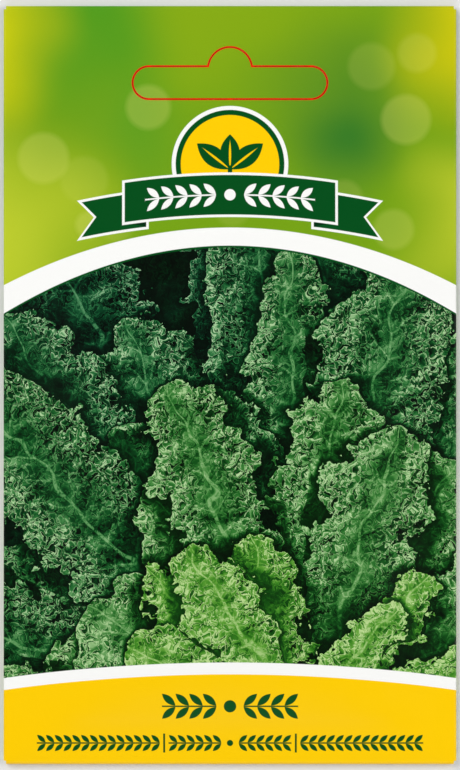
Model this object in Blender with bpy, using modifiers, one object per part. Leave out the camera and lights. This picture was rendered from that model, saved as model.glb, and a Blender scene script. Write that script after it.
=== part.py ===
"""A flat paper seed packet with a hang slot, lying on its back with the printed front up.

One folded sheet makes the packet: a front panel, two back panels that lap in a centre seam,
a bottom flap and a long top flap that doubles the hanging header. It holds a sealed foil
sachet, and the sachet holds the loose seeds. Metres, +X to the right of the printed front,
+Y towards the hang slot, +Z out of the front. The origin is under the middle of the packet.
"""

import random
from math import asin, cos, degrees, hypot, pi, radians, sin

import bmesh
import bpy

MM = 0.001

# Outer size of the closed packet
WIDTH = 80 * MM
HEIGHT = 134 * MM

# Sheet thickness, the air between glued layers, and the air between separate pieces
PAPER = 0.2 * MM
LAYER_GAP = 0.15 * MM
PIECE_GAP = 0.3 * MM

# Back seam and the two folded flaps
LAP = 12 * MM
LAP_RAMP = 3 * MM
TOP_FLAP = 24 * MM
BOTTOM_FLAP = 13 * MM
FLAP_TAPER = 0.06

# Middle height of each paper layer, from the table up
LAYER = PAPER + LAYER_GAP
FLAP_Z = PAPER / 2
BACK_Z = FLAP_Z + LAYER
LAP_Z = BACK_Z + LAYER
FRONT_Z = LAP_Z + LAYER

# Radii of the folds on the sheet's middle line, and the flat part of the front between them
SIDE_BEND = (FRONT_Z - BACK_Z) / 2
END_BEND = (FRONT_Z - FLAP_Z) / 2
FRONT_HALF_X = WIDTH / 2 - SIDE_BEND - PAPER / 2
FRONT_HALF_Y = HEIGHT / 2 - END_BEND - PAPER / 2

# Foil sachet, folded at its bottom edge
FOIL = 0.15 * MM
SACHET_HALF_WIDTH = 28 * MM
SACHET_BOTTOM = -59 * MM
SACHET_TOP = 17 * MM
LOWER_FOIL_Z = LAP_Z + PAPER / 2 + PIECE_GAP + FOIL / 2
UPPER_FOIL_Z = LOWER_FOIL_Z + FOIL + LAYER_GAP

# Seeds: round, in one layer that has slid towards the bottom of the sachet. Each touches one
# seed that was there before it, and keeps clear of the others
SEED_COUNT = 50
SEED_RADIUS = 1.0 * MM
SEED_TOUCH = 1.84 * MM
SEED_CLEAR = 2.06 * MM
SEEDS_Y = -36 * MM
SEEDS_HALF_X = 10.5 * MM
SEEDS_HALF_Y = 7.5 * MM
SEED_Z = LOWER_FOIL_Z + FOIL / 2 + PIECE_GAP + SEED_RADIUS

# The sachet's upper foil: flat at its sealed rim, and raised over the seeds
SEAL = 6 * MM
FOIL_FLAT_X = 12.5 * MM
FOIL_FLAT_BOTTOM = -46.5 * MM
FOIL_FLAT_TOP = -24 * MM
FOIL_LIFT = SEED_Z + SEED_RADIUS + PIECE_GAP + FOIL / 2 - UPPER_FOIL_Z

# The front panel: highest over the seeds, falling in nearly straight slopes to its four folds
# and to the flat hanging header
FRONT_FLAT_X = 14 * MM
FRONT_FLAT_BOTTOM = -48 * MM
FRONT_FLAT_TOP = -21 * MM
HEADER_BOTTOM = 40 * MM
FRONT_LIFT = UPPER_FOIL_Z + FOIL_LIFT + FOIL / 2 + PIECE_GAP + PAPER / 2 - FRONT_Z
HIP_SHARPNESS = 4
SLOPE_ROUNDING = 0.55

# Hang slot: a round-ended slot with a half-round hump, perforated but not yet pushed out
SLOT_HALF_LENGTH = 17.2 * MM
SLOT_RADIUS = 2.9 * MM
SLOT_Y = HEIGHT / 2 - 13.6 * MM
HUMP_RADIUS = 3.9 * MM
HUMP_Y = HEIGHT / 2 - 11.2 * MM
KERF = 0.3 * MM
NICK = 0.9 * MM
CUT_DEPTH = 2.4 * MM

# How finely the folded sheets are divided
FRONT_COLUMNS = 22
FRONT_ROWS = 34
BEND_STEPS = 6


def clear_scene():
    for obj in list(bpy.data.objects):
        bpy.data.objects.remove(obj, do_unlink=True)


def make_collection(name):
    collection = bpy.data.collections.new(name)
    bpy.context.scene.collection.children.link(collection)
    return collection


def make_material(name, colour, roughness, metallic=0.0):
    material = bpy.data.materials.new(name)
    material.use_nodes = True
    shader = material.node_tree.nodes["Principled BSDF"]
    shader.inputs["Base Color"].default_value = (*colour, 1)
    shader.inputs["Roughness"].default_value = roughness
    shader.inputs["Metallic"].default_value = metallic
    return material


def smooth(t):
    """0 below 0, 1 above 1, and an even S between them."""
    t = min(1.0, max(0.0, t))
    return t * t * (3 - 2 * t)


def spread(start, stop, steps):
    """Evenly spaced stations from start to stop, both included."""
    return [start + (stop - start) * i / steps for i in range(steps + 1)]


def stations(*runs):
    """The stations of several runs that follow each other, each shared end kept once."""
    joined = list(runs[0])
    for run in runs[1:]:
        joined += run[1:]
    return joined


def around_bend(run, radius):
    """How far out and how far down a point is, run metres past the start of a half-turn fold."""
    if run <= 0:
        return run, 0.0
    if run < pi * radius:
        return radius * sin(run / radius), radius * (1 - cos(run / radius))
    return pi * radius - run, 2 * radius


def tent(x, y, edges, flat):
    """A hipped mound: 0 at the edges, 1 over the flat, with softened hips and slopes.

    edges and flat are each (half width, bottom, top).
    """
    (edge_x, edge_bottom, edge_top), (flat_x, flat_bottom, flat_top) = edges, flat
    slopes = [
        (edge_x - abs(x)) / (edge_x - flat_x),
        (y - edge_bottom) / (flat_bottom - edge_bottom),
        (edge_top - y) / (edge_top - flat_top),
    ]
    if min(slopes) <= 0:
        return 0.0
    t = sum(slope**-HIP_SHARPNESS for slope in slopes) ** (-1 / HIP_SHARPNESS)
    t = min(1.0, t)
    return t + SLOPE_ROUNDING * (smooth(t) - t)


def foil_height(x, y):
    edges = (SACHET_HALF_WIDTH - SEAL, SACHET_BOTTOM + SEAL / 2, SACHET_TOP - SEAL)
    flat = (FOIL_FLAT_X, FOIL_FLAT_BOTTOM, FOIL_FLAT_TOP)
    return UPPER_FOIL_Z + FOIL_LIFT * tent(x, y, edges, flat)


def front_height(x, y):
    edges = (FRONT_HALF_X, -FRONT_HALF_Y, HEADER_BOTTOM)
    flat = (FRONT_FLAT_X, FRONT_FLAT_BOTTOM, FRONT_FLAT_TOP)
    return FRONT_Z + FRONT_LIFT * tent(x, y, edges, flat)


def folded_paper(u, v):
    """Where the point (u, v) of the flat sheet lies once the packet is folded."""
    side = 1 if u > 0 else -1
    end = 1 if v > 0 else -1
    if abs(v) > FRONT_HALF_Y:
        out, down = around_bend(abs(v) - FRONT_HALF_Y, END_BEND)
        taper = 1 + FLAP_TAPER * min(0.0, out) / TOP_FLAP
        return u * taper, end * (FRONT_HALF_Y + out), FRONT_Z - down
    if abs(u) <= FRONT_HALF_X:
        return u, v, front_height(u, v)
    out, down = around_bend(abs(u) - FRONT_HALF_X, SIDE_BEND)
    x = side * (FRONT_HALF_X + out)
    over_lap = smooth((x + LAP / 2 + LAP_RAMP) / LAP_RAMP) if side < 0 and out < 0 else 0
    return x, v, FRONT_Z - down + LAYER * over_lap


def folded_foil(u, v):
    """Where the point (u, v) of the flat foil lies: v runs down the upper face, round, and back."""
    length = SACHET_TOP - SACHET_BOTTOM
    if v <= length:
        return u, SACHET_TOP - v, foil_height(u, SACHET_TOP - v)
    out, down = around_bend(v - length, (UPPER_FOIL_Z - LOWER_FOIL_Z) / 2)
    return u, SACHET_BOTTOM - out, UPPER_FOIL_Z - down


def sheet_object(name, across, along, keep, place, thickness, collection, material):
    """A thick sheet: a flat grid at the given stations, cut to its blank, folded by place."""
    columns = len(across) - 1
    rows = len(along) - 1
    sheet = bmesh.new()
    bmesh.ops.create_grid(sheet, x_segments=columns, y_segments=rows, size=1)
    flat = {}
    for vertex in sheet.verts:
        column = round((vertex.co.x + 1) / 2 * columns)
        row = round((vertex.co.y + 1) / 2 * rows)
        flat[vertex] = (across[column], along[row])
        vertex.co = (*flat[vertex], 0)
    waste = [face for face in sheet.faces if not keep(*face.calc_center_median().xy)]
    bmesh.ops.delete(sheet, geom=waste, context="FACES")
    for vertex in sheet.verts:
        vertex.co = place(*flat[vertex])
    mesh = bpy.data.meshes.new(name)
    sheet.to_mesh(mesh)
    sheet.free()
    mesh.shade_smooth()
    mesh.set_sharp_from_angle(angle=radians(40))
    mesh.materials.append(material)
    obj = bpy.data.objects.new(name, mesh)
    collection.objects.link(obj)
    body = obj.modifiers.new("thickness", "SOLIDIFY")
    body.thickness = thickness
    body.offset = 0
    body.use_even_offset = True
    return obj


def make_packet(collection, material):
    """The outer packet, folded from one printed sheet."""
    side_arc = pi * SIDE_BEND
    end_arc = pi * END_BEND
    back_start = FRONT_HALF_X + side_arc
    seam_edge = back_start + FRONT_HALF_X + LAP / 2
    ramp_start = back_start + FRONT_HALF_X - LAP / 2 - LAP_RAMP
    right_side = stations(
        spread(FRONT_HALF_X, back_start, BEND_STEPS),
        spread(back_start, ramp_start, 3),
        spread(ramp_start, ramp_start + LAP_RAMP, 3),
        spread(ramp_start + LAP_RAMP, seam_edge, 2),
    )
    left_side = [-u for u in reversed(right_side)]
    front = spread(-FRONT_HALF_X, FRONT_HALF_X, FRONT_COLUMNS)
    across = stations(left_side, front, right_side)
    bottom_start = -FRONT_HALF_Y - end_arc
    top_start = FRONT_HALF_Y + end_arc
    along = stations(
        spread(bottom_start - BOTTOM_FLAP, bottom_start, 2),
        spread(bottom_start, -FRONT_HALF_Y, BEND_STEPS),
        spread(-FRONT_HALF_Y, FRONT_HALF_Y, FRONT_ROWS),
        spread(FRONT_HALF_Y, top_start, BEND_STEPS),
        spread(top_start, top_start + TOP_FLAP, 2),
    )

    def in_blank(u, v):
        return abs(u) < FRONT_HALF_X or abs(v) < FRONT_HALF_Y

    return sheet_object(
        "paper_packet", across, along, in_blank, folded_paper, PAPER, collection, material
    )


def make_sachet(collection, material):
    """The inner sachet, one foil web folded at the bottom and sealed round its other edges."""
    length = SACHET_TOP - SACHET_BOTTOM
    bend = pi * (UPPER_FOIL_Z - LOWER_FOIL_Z) / 2
    across = spread(-SACHET_HALF_WIDTH, SACHET_HALF_WIDTH, 16)
    along = stations(
        spread(0, length, 22),
        spread(length, length + bend, BEND_STEPS),
        spread(length + bend, 2 * length + bend, 2),
    )

    def whole(u, v):
        return True

    return sheet_object(
        "foil_sachet", across, along, whole, folded_foil, FOIL, collection, material
    )


def seed_places(draw):
    """Centres of the seeds in plan, grown outwards one at a time from the first."""
    places = [(0.0, 0.0)]
    while len(places) < SEED_COUNT:
        x, y = draw.choice(places)
        heading = draw.uniform(0, 2 * pi)
        new = (x + SEED_TOUCH * cos(heading), y + SEED_TOUCH * sin(heading))
        others = [hypot(new[0] - a, new[1] - b) for a, b in places if (a, b) != (x, y)]
        inside = hypot(new[0] / SEEDS_HALF_X, new[1] / SEEDS_HALF_Y) < 1
        if inside and min(others, default=1) > SEED_CLEAR:
            places.append(new)
    return [(x, SEEDS_Y + y, SEED_Z) for x, y in places]


def make_seeds(collection, material):
    """The seeds in one layer, joined where they touch into one bed."""
    draw = random.Random(7)
    loose = make_collection("loose_seeds")
    seeds = []
    for number, place in enumerate(seed_places(draw)):
        name = "seeds" if number == 0 else f"loose_seed_{number}"
        mesh = bpy.data.meshes.new(name)
        ball = bmesh.new()
        bmesh.ops.create_icosphere(ball, subdivisions=2, radius=SEED_RADIUS)
        ball.to_mesh(mesh)
        ball.free()
        mesh.materials.append(material)
        seed = bpy.data.objects.new(name, mesh)
        seed.location = place
        seed.rotation_euler = [draw.uniform(0, pi) for _ in range(3)]
        (collection if number == 0 else loose).objects.link(seed)
        seeds.append(seed)
    bed = seeds[0]
    joining = bed.modifiers.new("join", "BOOLEAN")
    joining.operation = "UNION"
    joining.solver = "EXACT"
    joining.operand_type = "COLLECTION"
    joining.collection = loose
    bpy.context.view_layer.update()
    graph = bpy.context.evaluated_depsgraph_get()
    joined = bpy.data.meshes.new_from_object(bed.evaluated_get(graph))
    bed.modifiers.clear()
    bed.data = joined
    for seed in seeds[1:]:
        bpy.data.objects.remove(seed, do_unlink=True)
    bpy.data.collections.remove(loose)
    return bed


def arc_points(centre_x, centre_y, radius, first, last, steps):
    angles = spread(radians(first), radians(last), steps)
    return [(centre_x + radius * cos(a), centre_y + radius * sin(a)) for a in angles]


def trimmed(points, cut):
    """The run with its two end points moved in by cut, which leaves a nick between runs."""
    (ax, ay), (bx, by) = points[0], points[1]
    (yx, yy), (zx, zy) = points[-2], points[-1]
    first = cut / hypot(bx - ax, by - ay)
    last = cut / hypot(yx - zx, yy - zy)
    start = (ax + (bx - ax) * first, ay + (by - ay) * first)
    stop = (zx + (yx - zx) * last, zy + (yy - zy) * last)
    return [start, *points[1:-1], stop]


def slot_runs():
    """The cut lines of the hang slot, in plan. A nick of whole paper is left between them."""
    end_x = SLOT_HALF_LENGTH - SLOT_RADIUS
    top = SLOT_Y + SLOT_RADIUS
    bottom = SLOT_Y - SLOT_RADIUS
    hump_x = (HUMP_RADIUS**2 - (top - HUMP_Y) ** 2) ** 0.5
    hump_start = degrees(asin((HUMP_Y - top) / HUMP_RADIUS))
    return [
        [(0, bottom), (end_x, bottom)],
        [(-end_x, bottom), (0, bottom)],
        arc_points(end_x, SLOT_Y, SLOT_RADIUS, -90, 90, 6),
        arc_points(-end_x, SLOT_Y, SLOT_RADIUS, 90, 270, 6),
        [(end_x, top), (hump_x, top)],
        [(-hump_x, top), (-end_x, top)],
        arc_points(0, HUMP_Y, HUMP_RADIUS, -hump_start, 180 + hump_start, 8),
    ]


def make_slot_cutter(collection):
    """Thin upright walls along the slot's outline, as wide as the perforation's cut."""
    walls = bmesh.new()
    for run in slot_runs():
        points = trimmed(run, NICK / 2)
        low = [walls.verts.new((x, y, -CUT_DEPTH / 4)) for x, y in points]
        high = [walls.verts.new((x, y, CUT_DEPTH)) for x, y in points]
        for i in range(len(points) - 1):
            walls.faces.new((low[i], low[i + 1], high[i + 1], high[i]))
    mesh = bpy.data.meshes.new("slot_cutter")
    walls.to_mesh(mesh)
    walls.free()
    cutter = bpy.data.objects.new("slot_cutter", mesh)
    collection.objects.link(cutter)
    cutter.hide_render = True
    cutter.display_type = "WIRE"
    width = cutter.modifiers.new("width", "SOLIDIFY")
    width.thickness = KERF
    width.offset = 0
    return cutter


def cut(obj, cutter):
    boolean = obj.modifiers.new("perforation", "BOOLEAN")
    boolean.operation = "DIFFERENCE"
    boolean.solver = "EXACT"
    boolean.object = cutter


def main():
    clear_scene()
    packet_parts = make_collection("seed_packet")
    cutters = make_collection("cutters")
    paper = make_material("printed_paper", (0.30, 0.48, 0.10), 0.35)
    foil = make_material("sachet_foil", (0.80, 0.81, 0.82), 0.30, 1.0)
    seed = make_material("seed_coat", (0.09, 0.045, 0.03), 0.55)
    packet = make_packet(packet_parts, paper)
    cut(packet, make_slot_cutter(cutters))
    make_sachet(packet_parts, foil)
    make_seeds(packet_parts, seed)


main()
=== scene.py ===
"""The looks of a hanging paper seed packet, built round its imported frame.

The packet is one printed sheet, folded and lapped as the solid model is, but finer: thinner
paper, soft undulations and a narrow perforated slot. Where each point lay on the flat sheet is
kept in a UV map, in millimetres from the middle of the front, and node arithmetic draws the
whole print from it. Lengths in the geometry are metres, lengths in the print are millimetres.
"""

import random
from math import asin, cos, degrees, hypot, pi, radians, sin

import bmesh
import bpy
from mathutils import Euler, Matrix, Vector, noise


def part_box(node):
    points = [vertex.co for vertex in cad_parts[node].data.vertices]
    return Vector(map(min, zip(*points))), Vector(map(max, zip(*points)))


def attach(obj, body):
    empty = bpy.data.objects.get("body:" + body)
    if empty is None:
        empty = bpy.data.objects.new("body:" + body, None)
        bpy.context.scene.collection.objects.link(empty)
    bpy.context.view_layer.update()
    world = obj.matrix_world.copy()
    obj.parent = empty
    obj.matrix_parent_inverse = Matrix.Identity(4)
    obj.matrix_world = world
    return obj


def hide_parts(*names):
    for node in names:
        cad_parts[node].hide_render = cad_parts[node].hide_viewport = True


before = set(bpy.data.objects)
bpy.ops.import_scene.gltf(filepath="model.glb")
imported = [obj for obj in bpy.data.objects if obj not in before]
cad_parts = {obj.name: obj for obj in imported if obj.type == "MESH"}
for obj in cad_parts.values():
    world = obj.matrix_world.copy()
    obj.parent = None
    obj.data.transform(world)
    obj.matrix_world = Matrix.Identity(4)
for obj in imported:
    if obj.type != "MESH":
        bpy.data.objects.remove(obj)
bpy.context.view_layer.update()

MM = 0.001
LOW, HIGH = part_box("paper_packet")
WIDTH = HIGH[0] - LOW[0]
HEIGHT = HIGH[1] - LOW[1]

# The four layers of the flat header, from the table up: flap, back, lap and front
PAPER = 0.12 * MM
HEADER_THICKNESS = 1.25 * MM
LAYER = (HEADER_THICKNESS - PAPER) / 3
FLAP_Z = PAPER / 2
BACK_Z = FLAP_Z + LAYER
FRONT_Z = HEADER_THICKNESS - PAPER / 2
LAP = 12 * MM
LAP_RAMP = 3 * MM
TOP_FLAP = 24 * MM
BOTTOM_FLAP = 13 * MM
FLAP_TAPER = 0.06

# Folds, on the sheet's middle line
SIDE_BEND = (FRONT_Z - BACK_Z) / 2
END_BEND = (FRONT_Z - FLAP_Z) / 2
FRONT_HALF_X = WIDTH / 2 - SIDE_BEND - PAPER / 2
FRONT_HALF_Y = HEIGHT / 2 - END_BEND - PAPER / 2

# The swelling of the front over the seeds
SWELL_HALF_X = 14 * MM
SWELL_BOTTOM = -48 * MM
SWELL_TOP = -21 * MM
HEADER_BOTTOM = 40 * MM
SWELL = HIGH[2] - HEADER_THICKNESS
SWELL_MARGIN = 0.16 * MM
HIP_SHARPNESS = 4
SLOPE_ROUNDING = 0.55

# Small unevenness of the paper: height and feature size of each kind
WAVES = (0.12 * MM, 18 * MM)
WAVES_FADE = 6 * MM
SEED_BUMPS = (0.05 * MM, 2.4 * MM)
SEED_BUMPS_REACH = (15 * MM, 13 * MM)

# The edge of the inner sachet, which shows through the paper as a low step
SACHET_HALF_WIDTH = 28 * MM
SACHET_BOTTOM = -59 * MM
SACHET_TOP = 17 * MM
SACHET_STEP = 0.05 * MM
SACHET_STEP_WIDTH = 1.5 * MM

# The hang slot and its perforation
SLOT_HALF_LENGTH = 17.2 * MM
SLOT_RADIUS = 2.9 * MM
SLOT_Y = HEIGHT / 2 - 13.6 * MM
HUMP_RADIUS = 3.9 * MM
HUMP_Y = HEIGHT / 2 - 11.2 * MM
KERF = 0.07 * MM
NICK = 0.8 * MM

# The inner sachet: its foil, its sealed rim, and the swelling over the seeds
FOIL_LOW, FOIL_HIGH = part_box("foil_sachet")
FOIL = 0.08 * MM
FOIL_BEND = 0.1 * MM
SEAL = 6 * MM
SEAL_EDGE = 1 * MM
CRIMP = 0.03 * MM
CRIMP_PITCH = 1.4 * MM
LOWER_FOIL_Z = FOIL_LOW[2] + FOIL / 2
FOIL_GAP = 0.01 * MM
SEALED_FOIL_Z = LOWER_FOIL_Z + FOIL + FOIL_GAP
FOIL_LIFT = FOIL_HIGH[2] - FOIL / 2 - SEALED_FOIL_Z - 2 * FOIL_BEND
FOIL_TOP_HALF_X = 12.5 * MM
FOIL_TOP_BOTTOM = -46.5 * MM
FOIL_TOP_TOP = -24 * MM
CREASES = (0.30 * MM, 7 * MM)
FINE_CREASES = (0.12 * MM, 2.5 * MM)

# Seeds, placed as in the solid model: each lies close beside one that was there before it
SEED_COUNT = 50
SEED_RADIUS = 0.91 * MM
SEED_TOUCH = 1.84 * MM
SEED_CLEAR = 2.06 * MM
SEEDS_Y = -36 * MM
SEEDS_HALF_X = 10.5 * MM
SEEDS_HALF_Y = 7.5 * MM
SEED_FLATTENING = 0.05
SEED_DIMPLE = (0.06, 1.3)

# How finely the two sheets are divided
FRONT_COLUMNS = 96
FRONT_ROWS = 160
BACK_COLUMNS = 10
RAMP_COLUMNS = 6
LAP_COLUMNS = 3
BOTTOM_FLAP_ROWS = 4
TOP_FLAP_ROWS = 6
BEND_STEPS = 10
FOIL_COLUMNS = 130
FOIL_ROWS = 180
FOIL_BEND_STEPS = 6


def smooth(t):
    t = min(1.0, max(0.0, t))
    return t * t * (3 - 2 * t)


def spread(start, stop, steps):
    return [start + (stop - start) * i / steps for i in range(steps + 1)]


def stations(*runs):
    """One row of stations from several that each start where the one before it ends."""
    row = list(runs[0])
    for run in runs[1:]:
        row += run[1:]
    return row


def around_bend(run, radius):
    """How far out and how far down a point is, run metres past the start of a half-turn fold."""
    if run <= 0:
        return run, 0.0
    if run < pi * radius:
        return radius * sin(run / radius), radius * (1 - cos(run / radius))
    return pi * radius - run, 2 * radius


def swelling(x, y):
    """The front's soft hipped mound: 0 at its folds and in the header, 1 over the seeds."""
    slopes = [
        (FRONT_HALF_X - abs(x)) / (FRONT_HALF_X - SWELL_HALF_X),
        (y + FRONT_HALF_Y) / (SWELL_BOTTOM + FRONT_HALF_Y),
        (HEADER_BOTTOM - y) / (HEADER_BOTTOM - SWELL_TOP),
    ]
    if min(slopes) <= 0:
        return 0.0
    t = min(1.0, sum(slope**-HIP_SHARPNESS for slope in slopes) ** (-1 / HIP_SHARPNESS))
    return t + SLOPE_ROUNDING * (smooth(t) - t)


def rumple(x, y, kind, seed):
    height, size = kind
    return height * noise.noise(Vector((x / size, y / size, seed)))


def front_height(x, y):
    """The front panel: the mound, with slight waves, bumps over the seeds and the sachet's edge."""
    to_fold_x = (FRONT_HALF_X - abs(x)) / WAVES_FADE
    to_fold_y = (FRONT_HALF_Y - abs(y)) / WAVES_FADE
    reach_x, reach_y = SEED_BUMPS_REACH
    over_seeds = smooth(2 - hypot(x / reach_x, (y - SEEDS_Y) / reach_y))
    to_edge = min(SACHET_HALF_WIDTH - abs(x), SACHET_TOP - y, y - SACHET_BOTTOM)
    step = SACHET_STEP * (smooth(to_edge / SACHET_STEP_WIDTH + 0.5) - 0.5)
    small = rumple(x, y, WAVES, 3.0) + over_seeds * rumple(x, y, SEED_BUMPS, 8.0) + step
    mound = (SWELL - SWELL_MARGIN) * swelling(x, y)
    return FRONT_Z + mound + smooth(to_fold_x) * smooth(to_fold_y) * small


def folded_paper(u, v):
    """Where the point (u, v) of the flat sheet lies once the packet is folded."""
    side = 1 if u > 0 else -1
    end = 1 if v > 0 else -1
    if abs(v) > FRONT_HALF_Y:
        out, down = around_bend(abs(v) - FRONT_HALF_Y, END_BEND)
        taper = 1 + FLAP_TAPER * min(0.0, out) / TOP_FLAP
        return u * taper, end * (FRONT_HALF_Y + out), FRONT_Z - down
    if abs(u) <= FRONT_HALF_X:
        return u, v, front_height(u, v)
    out, down = around_bend(abs(u) - FRONT_HALF_X, SIDE_BEND)
    x = side * (FRONT_HALF_X + out)
    over_lap = smooth((x + LAP / 2 + LAP_RAMP) / LAP_RAMP) if side < 0 and out < 0 else 0
    return x, v, FRONT_Z - down + LAYER * over_lap


def flat_sheet():
    """The blank as a flat grid of stations: (stations across, stations along)."""
    side_arc = pi * SIDE_BEND
    end_arc = pi * END_BEND
    back_start = FRONT_HALF_X + side_arc
    seam_edge = back_start + FRONT_HALF_X + LAP / 2
    ramp_start = back_start + FRONT_HALF_X - LAP / 2 - LAP_RAMP
    right_side = stations(
        spread(FRONT_HALF_X, back_start, BEND_STEPS),
        spread(back_start, ramp_start, BACK_COLUMNS),
        spread(ramp_start, ramp_start + LAP_RAMP, RAMP_COLUMNS),
        spread(ramp_start + LAP_RAMP, seam_edge, LAP_COLUMNS),
    )
    left_side = [-u for u in reversed(right_side)]
    across = stations(left_side, spread(-FRONT_HALF_X, FRONT_HALF_X, FRONT_COLUMNS), right_side)
    bottom_start = -FRONT_HALF_Y - end_arc
    top_start = FRONT_HALF_Y + end_arc
    along = stations(
        spread(bottom_start - BOTTOM_FLAP, bottom_start, BOTTOM_FLAP_ROWS),
        spread(bottom_start, -FRONT_HALF_Y, BEND_STEPS),
        spread(-FRONT_HALF_Y, FRONT_HALF_Y, FRONT_ROWS),
        spread(FRONT_HALF_Y, top_start, BEND_STEPS),
        spread(top_start, top_start + TOP_FLAP, TOP_FLAP_ROWS),
    )
    return across, along


# The UV map that keeps the flat sheet's coordinates, and the sheet's material slots.
# Solidify adds INNER_SLOT to a face's slot, up to the last one.
SHEET_MAP = "flat_sheet_mm"
FRONT_SLOT, BACK_SLOT, INNER_SLOT = range(3)


def sheet_mesh(name):
    """The folded sheet as one open surface, with its flat coordinates in a UV map."""
    across, along = flat_sheet()
    columns = len(across) - 1
    rows = len(along) - 1
    sheet = bmesh.new()
    bmesh.ops.create_grid(sheet, x_segments=columns, y_segments=rows, size=1)
    flat = {}
    for vertex in sheet.verts:
        column = round((vertex.co.x + 1) / 2 * columns)
        row = round((vertex.co.y + 1) / 2 * rows)
        flat[vertex] = (across[column], along[row])
        vertex.co = (*flat[vertex], 0)
    waste = []
    side_fold = FRONT_HALF_X + pi * SIDE_BEND / 2
    end_fold = FRONT_HALF_Y + pi * END_BEND / 2
    layer = sheet.loops.layers.uv.new(SHEET_MAP)
    for face in sheet.faces:
        u, v = face.calc_center_median().xy
        if abs(u) > FRONT_HALF_X and abs(v) > FRONT_HALF_Y:
            waste.append(face)
        on_front = abs(u) < side_fold and abs(v) < end_fold
        face.material_index = FRONT_SLOT if on_front else BACK_SLOT
        for loop in face.loops:
            loop[layer].uv = [place / MM for place in flat[loop.vert]]
    bmesh.ops.delete(sheet, geom=waste, context="FACES")
    for vertex in sheet.verts:
        vertex.co = folded_paper(*flat[vertex])
    mesh = bpy.data.meshes.new(name)
    sheet.to_mesh(mesh)
    sheet.free()
    mesh.shade_smooth()
    return mesh


def foil_sheet(name):
    """The inner sachet's web: down the upper face, round the bottom fold and up the lower face."""
    length = SACHET_TOP - SACHET_BOTTOM
    bend = pi * FOIL_BEND
    along = stations(
        spread(0, length, FOIL_ROWS),
        spread(length, length + bend, FOIL_BEND_STEPS),
        spread(length + bend, 2 * length + bend, FOIL_ROWS),
    )
    rows = len(along) - 1
    web = bmesh.new()
    bmesh.ops.create_grid(web, x_segments=FOIL_COLUMNS, y_segments=rows, size=1)
    for vertex in web.verts:
        u = vertex.co.x * SACHET_HALF_WIDTH
        row = round((vertex.co.y + 1) / 2 * rows)
        vertex.co = folded_foil(u, along[row])
    mesh = bpy.data.meshes.new(name)
    web.to_mesh(mesh)
    web.free()
    mesh.shade_smooth()
    return mesh


def sachet_seal(x, y):
    """1 in the crimped seals at the sachet's sides and top, 0 in its pocket."""
    inside = min(SACHET_HALF_WIDTH - abs(x), SACHET_TOP - y)
    return smooth((SEAL + SEAL_EDGE - inside) / SEAL_EDGE)


def upper_foil(x, y):
    """Height of the upper foil: crimped flat at the seals, crinkled over the seeds."""
    slopes = [
        (SACHET_HALF_WIDTH - SEAL - abs(x)) / (SACHET_HALF_WIDTH - SEAL - FOIL_TOP_HALF_X),
        (y - SACHET_BOTTOM) / (FOIL_TOP_BOTTOM - SACHET_BOTTOM),
        (SACHET_TOP - SEAL - y) / (SACHET_TOP - SEAL - FOIL_TOP_TOP),
    ]
    swell = 0.0
    if min(slopes) > 0:
        swell = min(1.0, sum(slope**-HIP_SHARPNESS for slope in slopes) ** (-1 / HIP_SHARPNESS))
    pocket = 1 - sachet_seal(x, y)
    creases = abs(rumple(x, y, CREASES, 1.0)) + abs(rumple(x, y, FINE_CREASES, 5.0))
    lift = FOIL_LIFT * (swell + SLOPE_ROUNDING * (smooth(swell) - swell))
    return SEALED_FOIL_Z + 2 * FOIL_BEND * pocket + lift - creases * pocket * smooth(4 * swell)


def folded_foil(u, v):
    """Where the point (u, v) of the flat foil lies: v runs down the upper face and back up."""
    length = SACHET_TOP - SACHET_BOTTOM
    if v <= length:
        y = SACHET_TOP - v
        return u, y, upper_foil(u, y) + crimp(u, y)
    out, down = around_bend(v - length, FOIL_BEND)
    y = SACHET_BOTTOM - out
    return u, y, LOWER_FOIL_Z + 2 * FOIL_BEND - down + crimp(u, y)


def crimp(x, y):
    """The seals' fine ribs, the same in both foils so that they lie against each other."""
    return CRIMP * (1 + sin(2 * pi * y / CRIMP_PITCH)) * sachet_seal(x, y)


def make_sachet(foil):
    sachet = bpy.data.objects.new("sachet_foil_web", foil_sheet("sachet_foil_web"))
    bpy.context.scene.collection.objects.link(sachet)
    sachet.data.materials.append(foil)
    body = sachet.modifiers.new("thickness", "SOLIDIFY")
    body.thickness = FOIL
    body.offset = 0
    graph = bpy.context.evaluated_depsgraph_get()
    solid = bpy.data.meshes.new_from_object(sachet.evaluated_get(graph))
    sachet.modifiers.clear()
    sachet.data = solid
    return sachet


def seed_places(draw):
    """Centres of the seeds in plan, grown outwards one at a time from the first."""
    places = [(0.0, 0.0)]
    while len(places) < SEED_COUNT:
        x, y = draw.choice(places)
        heading = draw.uniform(0, 2 * pi)
        new = (x + SEED_TOUCH * cos(heading), y + SEED_TOUCH * sin(heading))
        others = [hypot(new[0] - a, new[1] - b) for a, b in places if (a, b) != (x, y)]
        inside = hypot(new[0] / SEEDS_HALF_X, new[1] / SEEDS_HALF_Y) < 1
        if inside and min(others, default=1) > SEED_CLEAR:
            places.append(new)
    return [(x, SEEDS_Y + y) for x, y in places]


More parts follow.
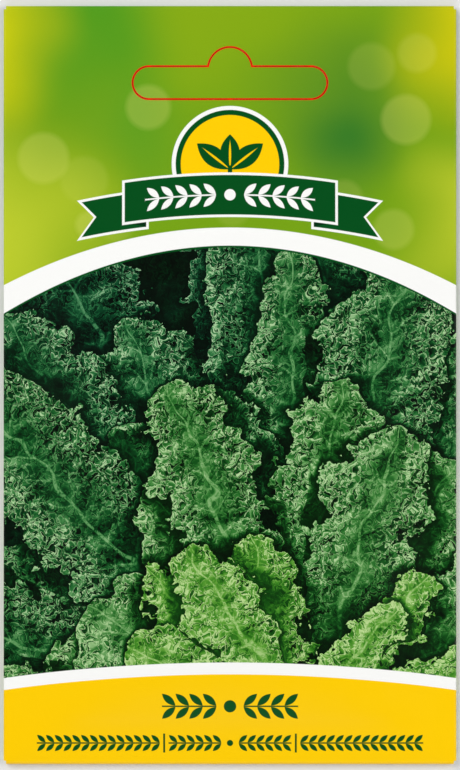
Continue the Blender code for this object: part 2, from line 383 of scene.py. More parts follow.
def make_seeds(coat):
    """Round seeds, each slightly flattened and dimpled, lying side by side in one layer."""
    draw = random.Random(7)
    dimple_depth, dimple_pitch = SEED_DIMPLE
    middle_z = sum(corner[2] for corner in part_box("seeds")) / 2
    bed = bmesh.new()
    for number, (x, y) in enumerate(seed_places(draw)):
        ball = bmesh.ops.create_icosphere(bed, subdivisions=4, radius=1)
        turn = Euler([draw.uniform(0, pi) for _ in range(3)])
        for vertex in ball["verts"]:
            way = vertex.co.normalized()
            dimple = dimple_depth * abs(noise.noise(way * dimple_pitch + Vector((number, 0, 0))))
            size = SEED_RADIUS * (1 - SEED_FLATTENING * abs(way.z) - dimple)
            spot = way * size
            spot.rotate(turn)
            vertex.co = spot + Vector((x, y, middle_z))
    mesh = bpy.data.meshes.new("seed_bed")
    bed.to_mesh(mesh)
    bed.free()
    mesh.shade_smooth()
    mesh.materials.append(coat)
    seeds = bpy.data.objects.new("seed_bed", mesh)
    bpy.context.scene.collection.objects.link(seeds)
    return seeds


def arc_points(centre_x, centre_y, radius, first, last, steps):
    angles = spread(radians(first), radians(last), steps)
    return [(centre_x + radius * cos(a), centre_y + radius * sin(a)) for a in angles]


def trimmed(points, cut):
    """The run with its two end points moved in by cut, which leaves a nick between runs."""
    (ax, ay), (bx, by) = points[0], points[1]
    (yx, yy), (zx, zy) = points[-2], points[-1]
    first = cut / hypot(bx - ax, by - ay)
    last = cut / hypot(yx - zx, yy - zy)
    start = (ax + (bx - ax) * first, ay + (by - ay) * first)
    stop = (zx + (yx - zx) * last, zy + (yy - zy) * last)
    return [start, *points[1:-1], stop]


def slot_runs():
    """The cut lines of the hang slot. A nick of whole paper is left between them."""
    end_x = SLOT_HALF_LENGTH - SLOT_RADIUS
    top = SLOT_Y + SLOT_RADIUS
    bottom = SLOT_Y - SLOT_RADIUS
    hump_x = (HUMP_RADIUS**2 - (top - HUMP_Y) ** 2) ** 0.5
    hump_start = degrees(asin((HUMP_Y - top) / HUMP_RADIUS))
    return [
        [(0, bottom), (end_x, bottom)],
        [(-end_x, bottom), (0, bottom)],
        arc_points(end_x, SLOT_Y, SLOT_RADIUS, -90, 90, 16),
        arc_points(-end_x, SLOT_Y, SLOT_RADIUS, 90, 270, 16),
        [(end_x, top), (hump_x, top)],
        [(-hump_x, top), (-end_x, top)],
        arc_points(0, HUMP_Y, HUMP_RADIUS, -hump_start, 180 + hump_start, 24),
    ]


def make_slot_cutter(material):
    walls = bmesh.new()
    for run in slot_runs():
        points = trimmed(run, NICK / 2)
        low = [walls.verts.new((x, y, -MM)) for x, y in points]
        high = [walls.verts.new((x, y, 3 * MM)) for x, y in points]
        for i in range(len(points) - 1):
            walls.faces.new((low[i], low[i + 1], high[i + 1], high[i]))
    mesh = bpy.data.meshes.new("slot_cutter")
    walls.to_mesh(mesh)
    walls.free()
    mesh.materials.append(material)
    cutter = bpy.data.objects.new("slot_cutter", mesh)
    bpy.context.scene.collection.objects.link(cutter)
    width = cutter.modifiers.new("width", "SOLIDIFY")
    width.thickness = KERF
    width.offset = 0
    return cutter


def make_packet(front_print, back_print, bare_paper, slot_ink):
    """The paper packet: the folded sheet given its thickness, then perforated."""
    mesh = sheet_mesh("packet_paper")
    for material in (front_print, back_print, bare_paper):
        mesh.materials.append(material)
    packet = bpy.data.objects.new("packet_paper", mesh)
    bpy.context.scene.collection.objects.link(packet)
    body = packet.modifiers.new("thickness", "SOLIDIFY")
    body.thickness = PAPER
    body.offset = 0
    body.material_offset = INNER_SLOT
    body.material_offset_rim = INNER_SLOT
    cutter = make_slot_cutter(slot_ink)
    boolean = packet.modifiers.new("perforation", "BOOLEAN")
    boolean.operation = "DIFFERENCE"
    boolean.solver = "EXACT"
    boolean.material_mode = "TRANSFER"
    boolean.object = cutter
    graph = bpy.context.evaluated_depsgraph_get()
    solid = bpy.data.meshes.new_from_object(packet.evaluated_get(graph))
    solid.set_sharp_from_angle(angle=radians(40))
    packet.modifiers.clear()
    packet.data = solid
    bpy.data.objects.remove(cutter, do_unlink=True)
    return packet


# Node arithmetic


class Field:
    """A value that varies over a surface. Arithmetic on it adds nodes to the material."""

    def __init__(self, tree, socket):
        self.tree = tree
        self.socket = socket

    def calc(self, operation, *others, clamp=False):
        node = self.tree.nodes.new("ShaderNodeMath")
        node.operation = operation
        node.use_clamp = clamp
        for slot, value in zip(node.inputs, (self, *others)):
            feed(slot, value)
        return Field(self.tree, node.outputs[0])

    def __add__(self, other):
        return self.calc("ADD", other)

    def __sub__(self, other):
        return self.calc("SUBTRACT", other)

    def __mul__(self, other):
        return self.calc("MULTIPLY", other)

    def __truediv__(self, other):
        return self.calc("DIVIDE", other)

    def __rsub__(self, other):
        return self * -1.0 + other

    def __neg__(self):
        return self * -1.0

    def __abs__(self):
        return self.calc("ABSOLUTE")

    __radd__ = __add__
    __rmul__ = __mul__

    def ramp(self, low, high):
        """A straight ramp, 0 at low and 1 at high."""
        if isinstance(low, Field) or isinstance(high, Field):
            return (self - low).calc("DIVIDE", high - low, clamp=True)
        scale = 1 / (high - low)
        return self.calc("MULTIPLY_ADD", scale, -low * scale, clamp=True)

    def soft(self, low, high):
        """A ramp with eased ends."""
        t = self.ramp(low, high)
        return t * t * (3.0 - t * 2.0)

    def curve(self, points):
        """The value read through a curve that passes the given (in, out) points."""
        node = self.tree.nodes.new("ShaderNodeFloatCurve")
        feed(node.inputs["Value"], self)
        curve = node.mapping.curves[0]
        while len(curve.points) < len(points):
            curve.points.new(0.5, 0.5)
        for point, place in zip(curve.points, points):
            point.location = place
        node.mapping.update()
        return Field(self.tree, node.outputs[0])

    def colours(self, stops):
        """The colour at this value along a row of (value, colour) stops."""
        node = self.tree.nodes.new("ShaderNodeValToRGB")
        feed(node.inputs[0], self)
        elements = node.color_ramp.elements
        while len(elements) < len(stops):
            elements.new(0.5)
        for element, (place, colour) in zip(elements, stops):
            element.position = place
            element.color = colour
        return Field(self.tree, node.outputs[0])


def feed(slot, value):
    if isinstance(value, Field):
        value.tree.links.new(value.socket, slot)
    else:
        slot.default_value = value


def mixed(a, b, amount):
    """a where amount is 0, b where it is 1."""
    node = amount.tree.nodes.new("ShaderNodeMix")
    node.data_type = "FLOAT"
    feed(node.inputs["Factor"], amount)
    feed(node.inputs[2], a)
    feed(node.inputs[3], b)
    return Field(amount.tree, node.outputs[0])


def painted(under, over, amount):
    """The colour under, covered by the colour over where amount is 1."""
    node = amount.tree.nodes.new("ShaderNodeMix")
    node.data_type = "RGBA"
    feed(node.inputs["Factor"], amount)
    feed(node.inputs[6], under)
    feed(node.inputs[7], over)
    return Field(amount.tree, node.outputs[2])


class Group:
    """A node group made once and used many times. Numbers go in and come out."""

    def __init__(self, name, inputs, outputs, build):
        self.tree = bpy.data.node_groups.new(name, "ShaderNodeTree")
        for label in inputs:
            self.tree.interface.new_socket(label, in_out="INPUT", socket_type="NodeSocketFloat")
        for label in outputs:
            self.tree.interface.new_socket(label, in_out="OUTPUT", socket_type="NodeSocketFloat")
        source = self.tree.nodes.new("NodeGroupInput")
        results = build(*[Field(self.tree, source.outputs[label]) for label in inputs])
        target = self.tree.nodes.new("NodeGroupOutput")
        for label, result in zip(outputs, results):
            feed(target.inputs[label], result)

    def use(self, *values):
        tree = next(value.tree for value in values if isinstance(value, Field))
        node = tree.nodes.new("ShaderNodeGroup")
        node.node_tree = self.tree
        for slot, value in zip(node.inputs, values):
            feed(slot, value)
        return [Field(tree, output) for output in node.outputs]


def vector(operation, a, b):
    """One step of vector arithmetic."""
    node = a.tree.nodes.new("ShaderNodeVectorMath")
    node.operation = operation
    feed(node.inputs[0], a)
    feed(node.inputs["Scale"] if operation == "SCALE" else node.inputs[1], b)
    return Field(a.tree, node.outputs["Value" if operation == "DOT_PRODUCT" else "Vector"])


def clouds(place, size, detail=1.0, roughness=0.5, output="Fac", space="2D"):
    """Smooth noise round 0.5, with features about size millimetres across."""
    node = place.tree.nodes.new("ShaderNodeTexNoise")
    node.noise_dimensions = space
    feed(node.inputs["Vector"], place)
    node.inputs["Scale"].default_value = 1 / size
    node.inputs["Detail"].default_value = detail
    node.inputs["Roughness"].default_value = roughness
    return Field(place.tree, node.outputs[output])


def stirred(place, size, reach):
    """The place, pushed about by noise."""
    swirl = clouds(place, size, output="Color")
    return vector("ADD", place, vector("SCALE", vector("SUBTRACT", swirl, (0.5, 0.5, 0.5)), reach))


def split(point):
    """The two coordinates of a point."""
    return vector("DOT_PRODUCT", point, (1, 0, 0)), vector("DOT_PRODUCT", point, (0, 1, 0))


def joined(x, y):
    """The point with these two coordinates."""
    node = x.tree.nodes.new("ShaderNodeCombineXYZ")
    feed(node.inputs[0], x)
    feed(node.inputs[1], y)
    return Field(x.tree, node.outputs[0])


def span(x, y):
    """How long the step (x, y) is."""
    return (x * x + y * y).calc("SQRT")


def ink(red, green, blue):
    """The linear colour of a printed tone given as on a screen, from 0 to 255."""
    tones = [tone / 255 for tone in (red, green, blue)]
    return tuple(t / 12.92 if t <= 0.04045 else ((t + 0.055) / 1.055) ** 2.4 for t in tones) + (1.0,)


WHITE = ink(250, 250, 247)
DARK_GREEN = ink(0, 78, 26)
YELLOW = ink(255, 206, 0)
RED = ink(232, 16, 6)
EDGE = 0.05


def fill(distance):
    """1 inside a shape, 0 outside it, from the distance to its edge, which is negative inside."""
    return distance.ramp(EDGE, -EDGE)


# The picture: curly kale leaves that fan out from below it

FAN_X = 13.0
FAN_Y = -62.0
# Leaves of each fan: degrees apart, length, half width, tone, coolness and youth
FANS = [
    (10.5, 116, 11.5, 0.20, 0.90, 0.0),
    (12.5, 97, 11.5, 0.26, 0.60, 0.0),
    (15.0, 77, 11.0, 0.315, 0.30, 0.0),
    (18.5, 56, 10.0, 0.37, 0.10, 0.1),
    (24.0, 36, 6.2, 0.45, 0.0, 0.75),
]
BLADE = [(0, 0.08), (0.16, 0.1), (0.3, 0.5), (0.5, 0.88), (0.7, 1.0), (0.86, 0.84), (0.95, 0.5), (1, 0)]
RUFFLE = [(0.0, 0.95), (0.16, 0.82), (0.32, 0.50), (0.6, 0.36), (0.85, 0.22), (1.0, 0.12)]
OLD_GREENS = [
    (0.0, ink(0, 8, 0)),
    (0.16, ink(2, 36, 5)),
    (0.34, ink(8, 73, 20)),
    (0.52, ink(45, 116, 46)),
    (0.72, ink(102, 157, 90)),
    (0.95, ink(174, 209, 150)),
]
COOL_GREENS = [
    (0.0, ink(0, 7, 3)),
    (0.16, ink(1, 33, 18)),
    (0.34, ink(6, 66, 37)),
    (0.52, ink(38, 107, 64)),
    (0.72, ink(90, 146, 103)),
    (0.95, ink(160, 199, 156)),
]
YOUNG_GREENS = [
    (0.0, ink(8, 24, 6)),
    (0.2, ink(20, 80, 16)),
    (0.42, ink(62, 136, 30)),
    (0.62, ink(108, 169, 54)),
    (0.95, ink(188, 217, 140)),
]


# Curls of the leaf margins: their size, the step towards the light, and how deep they cut
CURL_SIZE = 1.05
CURL_LIGHT = (-0.35, 0.4, 0)
CURL_LAYERS = 4.2
CURL_RELIEF = 0.9
CURL_SHADE = 0.36
CURL_DEPTH = 2.6
NOTCH_SIZE = 3.2
NOTCH_DEPTH = 4.0


def ruffles(place):
    """Curled leaf margin, in layers with a pale rim, a lit face and a dark foot, and its fray."""
    curls = clouds(place, CURL_SIZE, 2.0, 0.55)
    lit_side = clouds(vector("ADD", place, CURL_LIGHT), CURL_SIZE)
    layer = (curls * CURL_LAYERS).calc("FRACT")
    fray = (curls - 0.5) * CURL_DEPTH + (clouds(place, NOTCH_SIZE) - 0.5) * NOTCH_DEPTH
    return layer.curve(RUFFLE) + (curls - lit_side) * CURL_RELIEF - CURL_SHADE, fray


def random_of(cell, seed):
    """Three random numbers from 0 to 1 for each whole number."""
    node = cell.tree.nodes.new("ShaderNodeTexWhiteNoise")
    node.noise_dimensions = "1D"
    feed(node.inputs["W"], cell * 1.37 + seed)
    parts = cell.tree.nodes.new("ShaderNodeSeparateColor")
    cell.tree.links.new(node.outputs["Color"], parts.inputs[0])
    return [Field(cell.tree, output) for output in parts.outputs]


def pick(t, low, high):
    """The value that t, from 0 to 1, picks between low and high."""
    return t * (high - low) + low


# Leaves: how far they stray from even spacing, their spread of sizes, their folds and their veins
AIM_SPREAD = 0.9
SHORTENING = (0.80, 1.26)
WIDENING = (0.75, 1.25)
LEAN_REACH = 9.0
LOBE_SIZE = 5.0
LOBE_DEPTH = 0.32
SHADOW_REACH = 4.2
SHADOW_STRENGTH = 0.88
VEIN_PITCH = 2.6
VEIN_SLANT = 0.85

PLACE_INPUTS = ("turn", "radius", "lobes", "relief")
MARGIN_INPUTS = ("ruffle", "fray")
BELOW_INPUTS = ("tone below", "coolness below", "youth below")
LEAF_INPUTS = ("odd", "seed", "spacing", "length", "half width", "tone", "coolness", "youth")


def draw_leaves(turn, radius, lobes, relief, ruffle, fray, *rest):
    """Every second leaf of a fan, laid over the tone, coolness and youth of what is below."""
    below, (odd, seed, spacing, length, half_width, tone, cool, young) = rest[:3], rest[3:]
    step = spacing * radians(1)
    cell = (turn / step * 0.5 - odd * 0.5).calc("ROUND")
    aim, size, lean = random_of(cell, seed)
    local = turn - (cell * 2.0 + odd + (aim - 0.5) * AIM_SPREAD) * step
    along = radius * local.calc("COSINE")
    s = along / length * pick(size, *SHORTENING)
    across = radius * local.calc("SINE") - s * s * (lean - 0.5) * LEAN_REACH
    side = abs(across)
    width = half_width * pick((aim * 7.0 + lean * 3.0).calc("FRACT"), *WIDENING)
    half = s.curve(BLADE) * width
    depth = half - side + lobes * width * LOBE_DEPTH + fray
    shadow = depth.soft(-SHADOW_REACH, 0.2) * SHADOW_STRENGTH
    to_edge = (side / (half + 0.4)).ramp(0.08, 0.6)
    rib = (side / (1.25 - s)).ramp(0.60, 0.32)
    vein_place = (along - side * VEIN_SLANT + (size + lean) * 5.0).calc("PINGPONG", VEIN_PITCH)
    veins = (vein_place + lobes * 0.4).ramp(0.30, 0.02)
    face = relief * 0.30 - across / width * 0.07 + s * 0.12 + (tone - 0.04)
    face = face + (size - 0.5) * 0.1 + veins * (1.0 - to_edge) * 0.24
    value = face + ruffle * (to_edge * 0.7 + 0.36)
    value = mixed(value, value * 0.3 + tone * 0.4 + 0.50, rib * (ruffle + 0.1).ramp(0.45, 0.1))
    value = value + depth.ramp(0.5, 0.15) * 0.2
    mask = depth.ramp(-EDGE, 2 * EDGE)
    return (
        mixed(below[0] * (1.0 - shadow), value, mask),
        mixed(below[1], cool, mask),
        mixed(below[2], young, mask),
    )


def kale_picture(point):
    place = stirred(point, 7.5, 4.5)
    fine = stirred(stirred(point, 2.0, 1.8), 0.7, 0.5)
    margins = [ruffles(fine), ruffles(vector("ADD", fine, (37.0, 19.0, 0.0)))]
    x, y = split(place)
    across = x - FAN_X
    up = y - FAN_Y
    lobes = clouds(place, LOBE_SIZE)
    relief = (lobes - clouds(vector("ADD", place, (-0.9, 1.1, 0)), LOBE_SIZE)) * 3.0
    where = (across.calc("ARCTAN2", up), span(across, up), lobes * 2.0 - 1.0, relief)
    layer = Group(
        "kale_leaves",
        PLACE_INPUTS + MARGIN_INPUTS + BELOW_INPUTS + LEAF_INPUTS,
        ("tone", "coolness", "youth"),
        draw_leaves,
    )
    gloom = clouds(place, 8.0, 2.0)
    look = (gloom * 0.35 - 0.08 + margins[0][0] * 0.2, gloom + 0.2, gloom * 0.01)
    for number, form in enumerate(FANS):
        for odd in (0, 1):
            look = layer.use(*where, *margins[odd], *look, odd, number * 3.1 + odd, *form)
    value, cool, young = look
    green = painted(value.colours(OLD_GREENS), value.colours(COOL_GREENS), cool)
    return painted(green, value.colours(YOUNG_GREENS), young)


# The rest of the front: a blurred garden, a badge, white bands and a yellow foot

# Soft patches of colour: x, y, reach, colour and strength
GLOWS = [
    (-24, 66, 24, (78, 154, 28), 0.95),
    (-48, 60, 22, (220, 214, 10), 0.95),
    (-44, 24, 32, (198, 210, 48), 0.95),
    (-2, 66, 24, (140, 174, 18), 0.7),
    (19, 47, 21, (16, 112, 40), 0.8),
    (46, 66, 24, (226, 210, 8), 0.95),
    (44, 28, 20, (198, 208, 48), 0.9),
    (-16, 46, 15, (84, 156, 34), 0.6),
]
BOKEH_COUNT = 12
BOKEH_SEED = 4
ARCH_TOP = 24.6
ARCH_FALL = 12.0
FOOT_TOP = -48.8
FOOT_FALL = 3.0
HALF = WIDTH / 2 / MM
SLOT_LINE = 0.35
ARCH_LINE = 0.35
ARCH_BAND = 3.2
ARCH_BAND_GROWTH = 1.8
FOOT_BAND = 2.1

# The badge: rings by radius, the sprout's leaves by angle and length, and the banner
BADGE_Y = 39.0
RINGS = ((10.3, WHITE), (9.6, DARK_GREEN), (8.7, YELLOW))
SPROUT = ((-52, 7.4), (52, 7.4), (0, 6.2))
SPROUT_Y = BADGE_Y - 0.9
BANNER_Y = 33.6
BANNER_BOW = 0.004
BANNER_HALF_X = 18.6
BANNER_HALF_Y = 3.5
TAIL_DROP = 1.7
TAIL_HALF_Y = 3.1
TAIL_END = 26.2
TAIL_NOTCH = 2.6
TAIL_OVERLAP = 3.8
FOLD_SLOPE = 0.34
FOLD_GREEN = ink(0, 46, 16)
OUTLINE = 0.45

# Ornaments of the foot: their heights, the distance between leaf pairs, and where two bars stand
TITLE_Y = -56.6
TITLE_PITCH = 2.4
ROW_Y = -63.2
ROW_PITCH = 1.55
BAR_X = 7.5 * ROW_PITCH


def disc(x, y, centre_x, centre_y, radius):
    """Distance to the edge of a disc, negative inside, as with every shape here."""
    return span(x - centre_x, y - centre_y) - radius


def rounded_box(x, y, centre_x, centre_y, half_x, half_y, corner):
    over_x = (abs(x - centre_x) - (half_x - corner)).calc("MAXIMUM", 0.0)
    over_y = (abs(y - centre_y) - (half_y - corner)).calc("MAXIMUM", 0.0)
    return span(over_x, over_y) - corner


def leaf(x, y, base_x, base_y, angle, length, half_width):
    """A pointed leaf that starts at its base and leans angle degrees clockwise of upright."""
    turn = radians(angle)
    right = x - base_x
    up = y - base_y
    t = (right * sin(turn) + up * cos(turn)) * (2 / length) - 1.0
    across = right * cos(turn) - up * sin(turn)
    return abs(across) + (t * t - 1.0) * half_width


def droplet(x, y, centre_x, centre_y, radius, height):
    """A disc with a cone on it that comes to a point height above the disc's centre."""
    angle = asin(radius / height)
    slope = abs(x - centre_x) * cos(angle) + (y - (centre_y + height)) * sin(angle)
    cone = slope.calc("MAXIMUM", centre_y + radius * sin(angle) - y)
    return cone.calc("MINIMUM", disc(x, y, centre_x, centre_y, radius))


def sprig(x, y, pitch, half_length, leaf_length, half_width, angle=48):
    """A row of leaf pairs on a stem, pointing away from x = 0 both ways."""
    far = abs(x)
    local = (far * (1 / pitch)).calc("FRACT") * pitch
    pair = leaf(local, abs(y), 0.0, 0.1, angle, leaf_length, half_width)
    stem = abs(y) - 0.13
    return pair.calc("MINIMUM", stem).calc("MAXIMUM", far - half_length)


def blurred_garden(point):
    x, y = split(stirred(point, 26.0, 16.0))
    colour = ink(118, 162, 20)
    for centre_x, centre_y, reach, tone, strength in GLOWS:
        distance = span(x - centre_x, y - centre_y)
        colour = painted(colour, ink(*tone), distance.soft(reach, 0) * strength)
    draw = random.Random(BOKEH_SEED)
    x, y = split(point)
    for _ in range(BOKEH_COUNT):
        distance = disc(x, y, draw.uniform(-38, 38), draw.uniform(24, 64), draw.uniform(1.5, 4.5))
        glow = distance.ramp(0.7, -0.3) * draw.uniform(0.06, 0.18)
        colour = painted(colour, ink(236, 236, 120), glow)
    return colour


def slot_outline(x, y):
    """Distance to the edge of the hang slot: a bar with round ends and a hump on its middle."""
    radius = SLOT_RADIUS / MM
    past_end = (abs(x) - (SLOT_HALF_LENGTH - SLOT_RADIUS) / MM).calc("MAXIMUM", 0.0)
    bar = span(past_end, y - SLOT_Y / MM) - radius
    return bar.calc("MINIMUM", disc(x, y, 0.0, HUMP_Y / MM, HUMP_RADIUS / MM))


def badge(colour, x, y):
    """A yellow disc with a sprout, behind a dark-green banner with forked ends."""
    from_middle = disc(x, y, 0.0, BADGE_Y, 0.0)
    for radius, tone in RINGS:
        above_banner = (from_middle - radius).calc("MAXIMUM", BANNER_Y - y)
        colour = painted(colour, tone, fill(above_banner))
    for angle, length in SPROUT:
        blade = leaf(x, y, 0.0, SPROUT_Y, angle, length, 1.7)
        colour = painted(colour, DARK_GREEN, fill(blade))
        vein = leaf(x, y, 0.0, SPROUT_Y, angle, length * 0.82, 0.2)
        colour = painted(colour, YELLOW, fill(vein))
    stem = rounded_box(x, y, 0.0, BADGE_Y - 2.6, 0.4, 2.4, 0.2)
    colour = painted(colour, DARK_GREEN, fill(stem))
    bowed = y + x * x * BANNER_BOW - BANNER_Y
    past_front = abs(x) - BANNER_HALF_X
    behind = -past_front - TAIL_OVERLAP
    tail_y = abs(bowed + TAIL_DROP)
    notched = abs(x) - TAIL_END + TAIL_NOTCH - tail_y * (TAIL_NOTCH / TAIL_HALF_Y)
    tails = (tail_y - TAIL_HALF_Y).calc("MAXIMUM", notched).calc("MAXIMUM", behind)
    front = (abs(bowed) - BANNER_HALF_Y).calc("MAXIMUM", past_front)
    fold = (past_front * FOLD_SLOPE - bowed - BANNER_HALF_Y).calc("MAXIMUM", bowed)
    fold = fold.calc("MAXIMUM", past_front).calc("MAXIMUM", behind)
    colour = painted(colour, WHITE, fill(tails - OUTLINE))
    colour = painted(colour, DARK_GREEN, fill(tails))
    colour = painted(colour, FOLD_GREEN, fill(fold))
    colour = painted(colour, WHITE, fill(front - OUTLINE))
    colour = painted(colour, DARK_GREEN, fill(front))
    vine = sprig(x, bowed, 2.5, 15.0, 2.9, 0.55).calc("MAXIMUM", 2.5 - abs(x))
    vine = vine.calc("MINIMUM", disc(x, bowed, 0.0, 0.0, 1.0))
    return painted(colour, WHITE, fill(vine))


def front_colour(point):
    x, y = split(point)
    bow = x * x * (1 / HALF**2)
    arch = y + bow * ARCH_FALL - ARCH_TOP
    foot = FOOT_TOP - bow * FOOT_FALL - y
    colour = kale_picture(point)
    colour = painted(colour, DARK_GREEN, fill(-ARCH_LINE - arch))
    colour = painted(colour, WHITE, fill(-arch))
    colour = painted(colour, blurred_garden(point), fill(ARCH_BAND + bow * ARCH_BAND_GROWTH - arch))
    colour = painted(colour, RED, fill(abs(slot_outline(x, y)) - SLOT_LINE / 2))
    colour = badge(colour, x, y)
    colour = painted(colour, WHITE, fill(-foot))
    colour = painted(colour, YELLOW, fill(FOOT_BAND - foot))
    title = sprig(x, y - TITLE_Y, TITLE_PITCH, 5 * TITLE_PITCH, 3.2, 0.62)
    title = title.calc("MAXIMUM", TITLE_PITCH - abs(x)).calc("MINIMUM", disc(x, y, 0.0, TITLE_Y, 1.1))
    colour = painted(colour, DARK_GREEN, fill(title))
    from_bar = abs(abs(x) - BAR_X)
    bars = (from_bar - 0.17).calc("MAXIMUM", abs(y - ROW_Y) - 1.7)
    row = sprig(x, y - ROW_Y, ROW_PITCH, 22 * ROW_PITCH, 2.0, 0.40)
    row = row.calc("MAXIMUM", ROW_PITCH / 2 - from_bar).calc("MAXIMUM", ROW_PITCH - abs(x))
    row = row.calc("MINIMUM", disc(x, y, 0.0, ROW_Y, 0.55))
    return painted(colour, DARK_GREEN, fill(row.calc("MINIMUM", bars)))


# The back: a pale panel with signs, ruled lines, a calendar and a row of plants

PANEL = ink(249, 249, 238)
MID_GREEN = ink(92, 156, 44)
PALE_GREEN = ink(196, 216, 110)
BROWN = ink(120, 78, 44)
BLUE = ink(36, 132, 168)
RULE = ink(150, 168, 140)
RULE_HALF_WIDTH = 0.09
PANEL_FORM = (0.0, -6.0, 35.0, 44.0, 3.0)

# Ringed signs, with the sun at the left
SIGN_X = 21.0
SIGN_Y = 25.0
SIGN_RADIUS = 7.0
SUN_RADIUS = 2.9
SUN_RAYS = 8
RAY_MIDDLE = 4.5
SOIL_RADIUS = 5.8

# Ruled lines for notes: middle, half width, half height and the distance between two lines
NOTES_Y = 3.5
NOTES_HALF_X = 30.0
NOTES_HALF_Y = 10.0
NOTES_PITCH = 4.2

# The calendar, with the first and last month of each bar
TABLE_TOP = -12.0
TABLE_ROW = 5.0
MONTH_WIDTH = 5.0
BARS = [(3, 5, YELLOW), (5, 7, MID_GREEN), (9, 12, DARK_GREEN)]

# The row of plants, with the angle, length and half width of one plant's leaves
PLANTS_Y = -42.0
PLANT_PITCH = 12.0
PLANT_LEAVES = [(0, 9.0, 1.5), (34, 8.0, 1.5), (66, 5.6, 1.1)]


def rules(place, pitch):
    """Distance to lines a pitch apart, one of them where the place is 0."""
    return abs((place * (1 / pitch)).calc("FRACT") - 0.5) * -pitch + (pitch / 2 - RULE_HALF_WIDTH)


def signs(colour, x, y):
    """Three ringed signs: sun, water and sowing depth."""
    for centre in (-SIGN_X, 0.0, SIGN_X):
        ring = abs(disc(x, y, centre, SIGN_Y, SIGN_RADIUS)) - 0.25
        colour = painted(colour, DARK_GREEN, fill(ring))
    from_sun = span(x + SIGN_X, y - SIGN_Y)
    turn = (x + SIGN_X).calc("ARCTAN2", y - SIGN_Y) * (SUN_RAYS / (2 * pi))
    ray = abs(turn.calc("FRACT") - 0.5) * from_sun * (2 * pi / SUN_RAYS) - 0.4
    ray = ray.calc("MAXIMUM", abs(from_sun - RAY_MIDDLE) - 0.8)
    colour = painted(colour, YELLOW, fill((from_sun - SUN_RADIUS).calc("MINIMUM", ray)))
    colour = painted(colour, BLUE, fill(droplet(x, y, 0.0, SIGN_Y - 1.2, 2.7, 5.8)))
    soil_top = SIGN_Y + 0.4
    soil = disc(x, y, SIGN_X, SIGN_Y, SOIL_RADIUS).calc("MAXIMUM", y - soil_top)
    colour = painted(colour, BROWN, fill(soil))
    colour = painted(colour, YELLOW, fill(disc(x, y, SIGN_X, SIGN_Y - 2.6, 0.9)))
    for angle in (-40, 40):
        shoot = leaf(x, y, SIGN_X, soil_top - 0.1, angle, 4.2, 1.0)
        colour = painted(colour, MID_GREEN, fill(shoot))
    return colour


def calendar(colour, x, y):
    """Twelve months across and three rows of bars, for sowing, planting and harvest."""
    half_x = 6 * MONTH_WIDTH + 0.1
    half_y = len(BARS) / 2 * TABLE_ROW
    table = rounded_box(x, y, 0.0, TABLE_TOP - half_y, half_x, half_y + 0.1, 0.1)
    grid = rules(x, MONTH_WIDTH).calc("MINIMUM", rules(y - TABLE_TOP, TABLE_ROW))
    colour = painted(colour, RULE, fill(grid.calc("MAXIMUM", table)))
    for number, (first, last, tone) in enumerate(BARS):
        middle = ((first - 1 + last) / 2 - 6) * MONTH_WIDTH
        half = (last - first + 1) / 2 * MONTH_WIDTH - 0.4
        bar = rounded_box(x, y, middle, TABLE_TOP - TABLE_ROW * (number + 0.5), half, 1.5, 1.2)
        colour = painted(colour, tone, fill(bar))
    return colour


def plant_row(colour, x, y):
    """Four plants in a row above a soil line."""
    local = abs(((x * (1 / PLANT_PITCH)).calc("FRACT") - 0.5) * PLANT_PITCH)
    in_row = abs(x) - 2 * PLANT_PITCH
    for angle, length, half_width in PLANT_LEAVES:
        blade = leaf(local, y, 0.0, PLANTS_Y, angle, length, half_width)
        colour = painted(colour, MID_GREEN, fill(blade.calc("MAXIMUM", in_row)))
    soil = rounded_box(x, y, 0.0, PLANTS_Y - 0.6, 2.2 * PLANT_PITCH, 0.5, 0.3)
    return painted(colour, BROWN, fill(soil))


def back_colour(point):
    u, v = split(point)
    turn_x = (2 * FRONT_HALF_X + pi * SIDE_BEND) / MM
    turn_y = (2 * FRONT_HALF_Y + pi * END_BEND) / MM
    x = u.calc("SIGN") * (abs(u) - turn_x)
    colour = painted(PALE_GREEN, MID_GREEN, v.soft(-70, 60))
    panel = rounded_box(x, v, *PANEL_FORM)
    colour = painted(colour, DARK_GREEN, fill(panel - 0.4))
    colour = painted(colour, PANEL, fill(panel))
    colour = plant_row(calendar(signs(colour, x, v), x, v), x, v)
    notes = rounded_box(x, v, 0.0, NOTES_Y, NOTES_HALF_X, NOTES_HALF_Y, 0.1)
    notes = notes.calc("MAXIMUM", rules(v - NOTES_Y, NOTES_PITCH))
    colour = painted(colour, RULE, fill(notes))
    flap = painted(YELLOW, blurred_garden(joined(u, turn_y - v)), fill(-v))
    return painted(colour, flap, fill(FRONT_HALF_Y / MM - abs(v)))


# The finishes and the stage

PAPER_SHEEN = 0.12
LIGHT_SIZE = 0.8
WORLD_STRENGTH = 0.12
FLOOR_COLOUR = (0.80, 0.80, 0.79, 1)
CAMERA_LENS = 180
CAMERA_MARGIN = 1.015


def finished(name, place_of, draw, roughness, unevenness, fine, relief, space="2D", **constants):
    """A material whose colour draw makes from its place, with uneven gloss and fine relief."""
    material = bpy.data.materials.new(name)
    material.use_nodes = True
    tree = material.node_tree
    shader = tree.nodes["Principled BSDF"]
    point = place_of(tree)
    feed(shader.inputs["Base Color"], draw(point))
    gloss = clouds(point, 3.0, 3.0, space=space) * unevenness + (roughness - unevenness / 2)
    feed(shader.inputs["Roughness"], gloss)
    grain = tree.nodes.new("ShaderNodeBump")
    grain.inputs["Strength"].default_value = 1.0
    grain.inputs["Distance"].default_value = relief * MM
    feed(grain.inputs["Height"], clouds(point, fine, 3.0, space=space))
    tree.links.new(grain.outputs[0], shader.inputs["Normal"])
    for label, value in constants.items():
        shader.inputs[label.replace("_", " ")].default_value = value
    return material


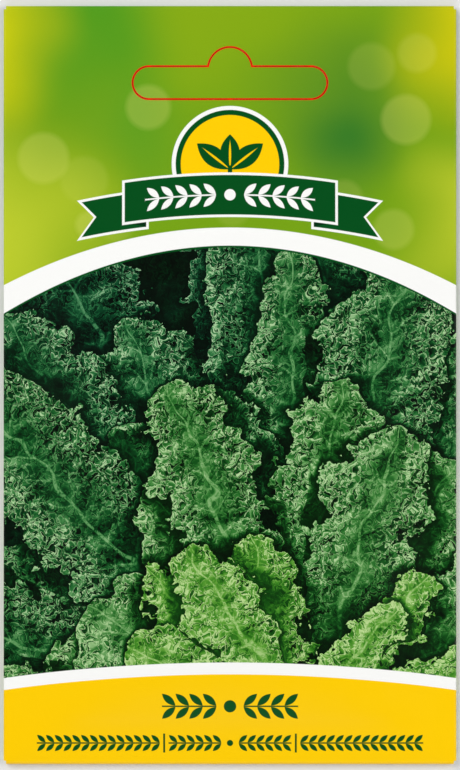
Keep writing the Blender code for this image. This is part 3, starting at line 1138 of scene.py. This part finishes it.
def sheet_place(tree):
    """The point on the flat sheet, from the UV map, in millimetres."""
    node = tree.nodes.new("ShaderNodeUVMap")
    node.uv_map = SHEET_MAP
    return Field(tree, node.outputs[0])


def solid_place(tree):
    """The point in the object's own space, in millimetres."""
    node = tree.nodes.new("ShaderNodeTexCoord")
    return vector("SCALE", Field(tree, node.outputs["Object"]), 1 / MM)


def mottled(dark, light, size, space="2D"):
    def draw(point):
        return painted(dark, light, clouds(point, size, 3.0, space=space).soft(0.3, 0.7))
    return draw


def printed_paper(name, draw, roughness):
    return finished(
        name, sheet_place, draw, roughness,
        unevenness=0.08, fine=0.35, relief=0.003, Specular_IOR_Level=PAPER_SHEEN,
    )


def area_light(name, place, power):
    data = bpy.data.lights.new(name, "AREA")
    data.size = LIGHT_SIZE
    data.energy = power
    light = bpy.data.objects.new(name, data)
    light.location = place
    light.rotation_euler = (-Vector(place)).to_track_quat("-Z", "Y").to_euler()
    bpy.context.scene.collection.objects.link(light)


def make_stage():
    bpy.ops.mesh.primitive_plane_add(size=6, location=(0, 0, 0))
    floor = bpy.context.object
    floor.name = "floor"
    material = bpy.data.materials.new("pale_floor")
    material.use_nodes = True
    shader = material.node_tree.nodes["Principled BSDF"]
    shader.inputs["Base Color"].default_value = FLOOR_COLOUR
    shader.inputs["Roughness"].default_value = 0.85
    floor.data.materials.append(material)
    area_light("key", (-0.60, 0.50, 0.56), 7.9)
    area_light("fill", (0.75, 0.1, 0.50), 5.2)
    area_light("low", (0.0, -0.80, 0.50), 4.1)
    world = bpy.data.worlds.new("studio")
    world.use_nodes = True
    background = world.node_tree.nodes["Background"]
    background.inputs["Color"].default_value = (1, 1, 1, 1)
    background.inputs["Strength"].default_value = WORLD_STRENGTH
    bpy.context.scene.world = world


def make_camera():
    """Straight above the packet, with a long lens, so that the packet fills the picture."""
    data = bpy.data.cameras.new("camera")
    data.lens = CAMERA_LENS
    camera = bpy.data.objects.new("camera", data)
    away = HEIGHT * CAMERA_MARGIN * data.lens / data.sensor_width
    distance = away + HEADER_THICKNESS
    camera.location = (0, 0, distance)
    bpy.context.scene.collection.objects.link(camera)
    bpy.context.scene.camera = camera


def main():
    make_camera()
    make_stage()
    bpy.context.scene.view_settings.view_transform = "Standard"
    front = printed_paper("printed_front", front_colour, 0.33)
    back = printed_paper("printed_back", back_colour, 0.36)
    bare = printed_paper("bare_paper", mottled(ink(238, 236, 228), ink(246, 245, 240), 1.2), 0.7)
    red = printed_paper("slot_ink", mottled(RED, ink(236, 44, 30), 1.0), 0.5)
    packet = make_packet(front, back, bare, red)
    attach(packet, "root")
    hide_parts("paper_packet")
    foil = finished(
        "crinkled_foil", solid_place, mottled(ink(206, 208, 210), ink(228, 229, 230), 2.0, "3D"),
        roughness=0.30, unevenness=0.12, fine=0.6, relief=0.01, space="3D", Metallic=1.0,
    )
    sachet = make_sachet(foil)
    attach(sachet, "root")
    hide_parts("foil_sachet")
    coat = finished(
        "netted_seed_coat", solid_place, mottled(ink(40, 24, 22), ink(104, 66, 52), 0.55, "3D"),
        roughness=0.5, unevenness=0.15, fine=0.09, relief=0.02, space="3D", Specular_IOR_Level=0.4,
    )
    seeds = make_seeds(coat)
    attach(seeds, "root")
    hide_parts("seeds")


main()
